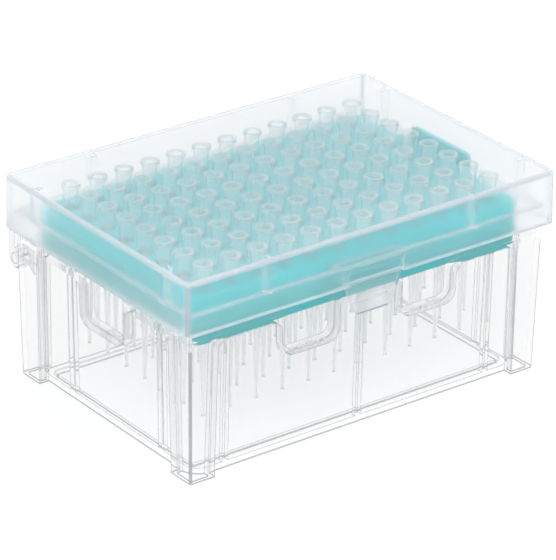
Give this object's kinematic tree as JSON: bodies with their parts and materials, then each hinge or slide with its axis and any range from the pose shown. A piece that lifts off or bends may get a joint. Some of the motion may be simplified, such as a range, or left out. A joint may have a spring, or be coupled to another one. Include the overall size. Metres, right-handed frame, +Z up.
{
  "type": "box of pipette tips",
  "caption": "Clear hinged box with a teal plate that holds a grid of long slender pipette tips upright, with a snap latch tab at the front.",
  "frame": {"origin": "middle of the whole footprint, hinge arms included, on the surface it stands on", "axes": "+X along the long side, +Y from the latch to the hinge, +Z up"},
  "size_m": [0.1282, 0.0926, 0.0623],
  "materials": {
    "clear_base": "clear, smooth",
    "teal_plate": "satin",
    "frosted_lid": "faintly frosted",
    "clear_tip": "clear, smooth"
  },
  "bodies": {
    "box": {"base": "clear_base", "tip_plate": "teal_plate", "tips_col01_ab": "clear_tip", "tips_col01_cd": "clear_tip", "tips_col01_ef": "clear_tip", "tips_col01_gh": "clear_tip", "tips_col02_ab": "clear_tip", "tips_col02_cd": "clear_tip", "tips_col02_ef": "clear_tip", "tips_col02_gh": "clear_tip", "tips_col03_ab": "clear_tip", "tips_col03_cd": "clear_tip", "tips_col03_ef": "clear_tip", "tips_col03_gh": "clear_tip", "tips_col04_ab": "clear_tip", "tips_col04_cd": "clear_tip", "tips_col04_ef": "clear_tip", "tips_col04_gh": "clear_tip", "tips_col05_ab": "clear_tip", "tips_col05_cd": "clear_tip", "tips_col05_ef": "clear_tip", "tips_col05_gh": "clear_tip", "tips_col06_ab": "clear_tip", "tips_col06_cd": "clear_tip", "tips_col06_ef": "clear_tip", "tips_col06_gh": "clear_tip", "tips_col07_ab": "clear_tip", "tips_col07_cd": "clear_tip", "tips_col07_ef": "clear_tip", "tips_col07_gh": "clear_tip", "tips_col08_ab": "clear_tip", "tips_col08_cd": "clear_tip", "tips_col08_ef": "clear_tip", "tips_col08_gh": "clear_tip", "tips_col09_ab": "clear_tip", "tips_col09_cd": "clear_tip", "tips_col09_ef": "clear_tip", "tips_col09_gh": "clear_tip", "tips_col10_ab": "clear_tip", "tips_col10_cd": "clear_tip", "tips_col10_ef": "clear_tip", "tips_col10_gh": "clear_tip", "tips_col11_ab": "clear_tip", "tips_col11_cd": "clear_tip", "tips_col11_ef": "clear_tip", "tips_col11_gh": "clear_tip", "tips_col12_ab": "clear_tip", "tips_col12_cd": "clear_tip", "tips_col12_ef": "clear_tip", "tips_col12_gh": "clear_tip"},
    "lid": {"lid": "frosted_lid"}
  },
  "joints": [
    {"name": "lid_hinge", "type": "hinge", "parent": "box", "child": "lid", "pos_m": [0, 0.04316, 0.0344], "axis": [-1, 0, 0], "range_deg": [0, 180]}
  ]
}
